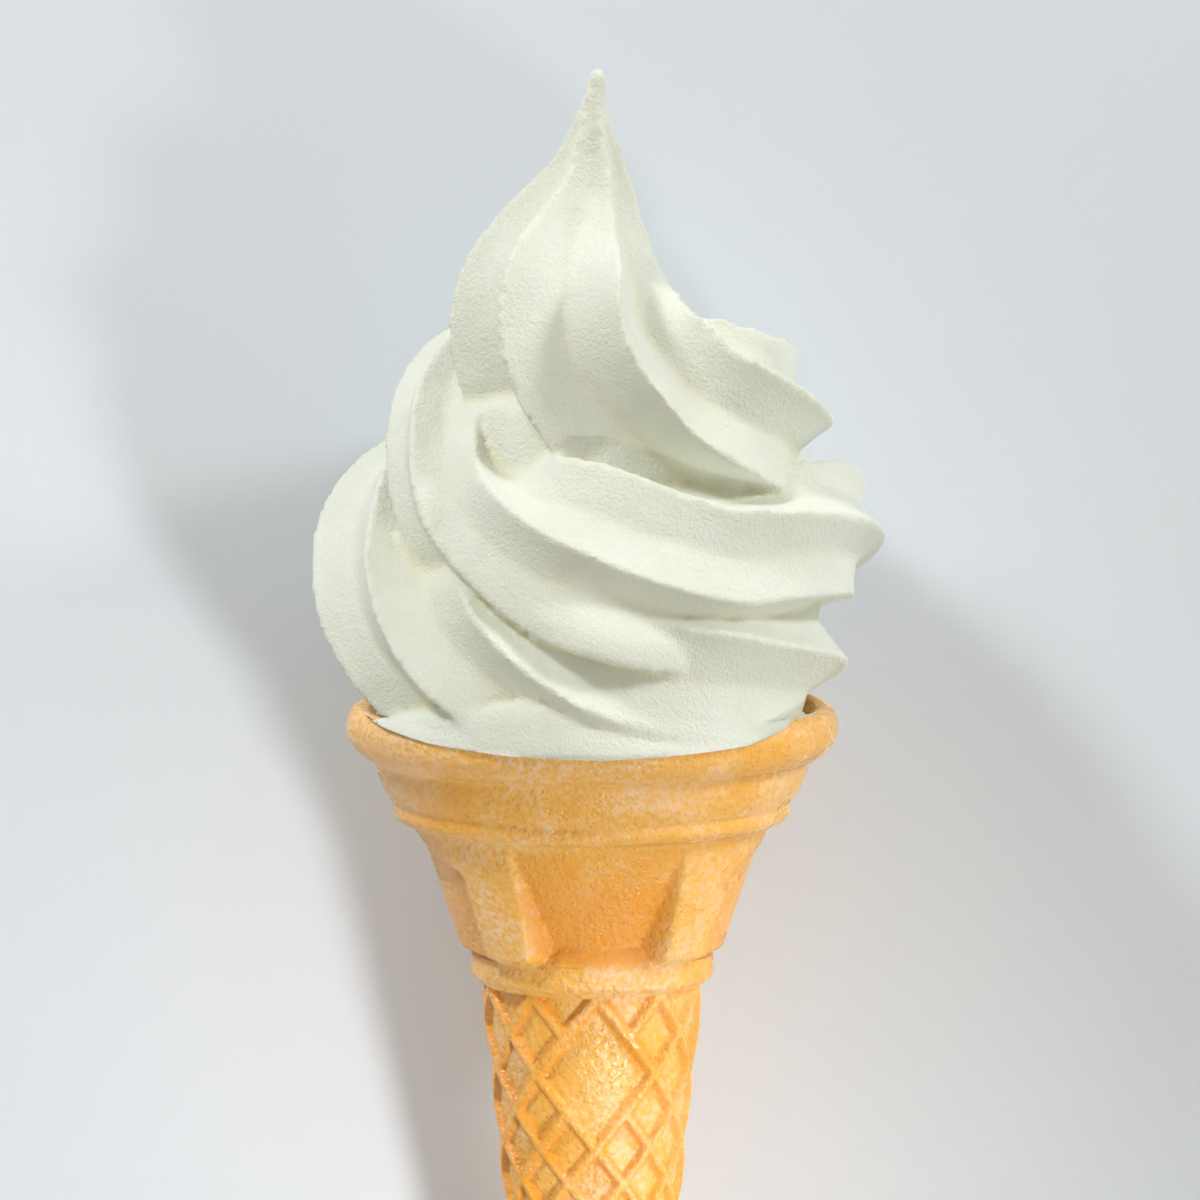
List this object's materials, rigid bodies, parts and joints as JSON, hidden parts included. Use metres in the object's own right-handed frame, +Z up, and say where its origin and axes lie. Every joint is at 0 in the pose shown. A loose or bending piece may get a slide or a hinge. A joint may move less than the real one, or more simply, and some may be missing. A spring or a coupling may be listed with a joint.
{
  "type": "soft serve cone",
  "caption": "Ridged swirl of soft serve ice cream, wound clockwise to a peak, in a moulded cup-top wafer cone with a lattice stem, lying on its back.",
  "frame": {"origin": "centre of the bounding box's bottom face, on the floor under the cone", "axes": "+Y from the stem's tip toward the swirl's peak, +Z up away from the floor, toward the shown side; +X to the right seen from above"},
  "size_m": [0.0644, 0.1826, 0.0583],
  "materials": {
    "wafer": "dry baked wafer, golden, paler where it is dusted with flour",
    "cream": "soft frozen cream, off-white, with a fine frosty grain"
  },
  "bodies": {
    "root": {"wafer_cone": "wafer", "soft_serve": "cream"}
  },
  "joints": []
}
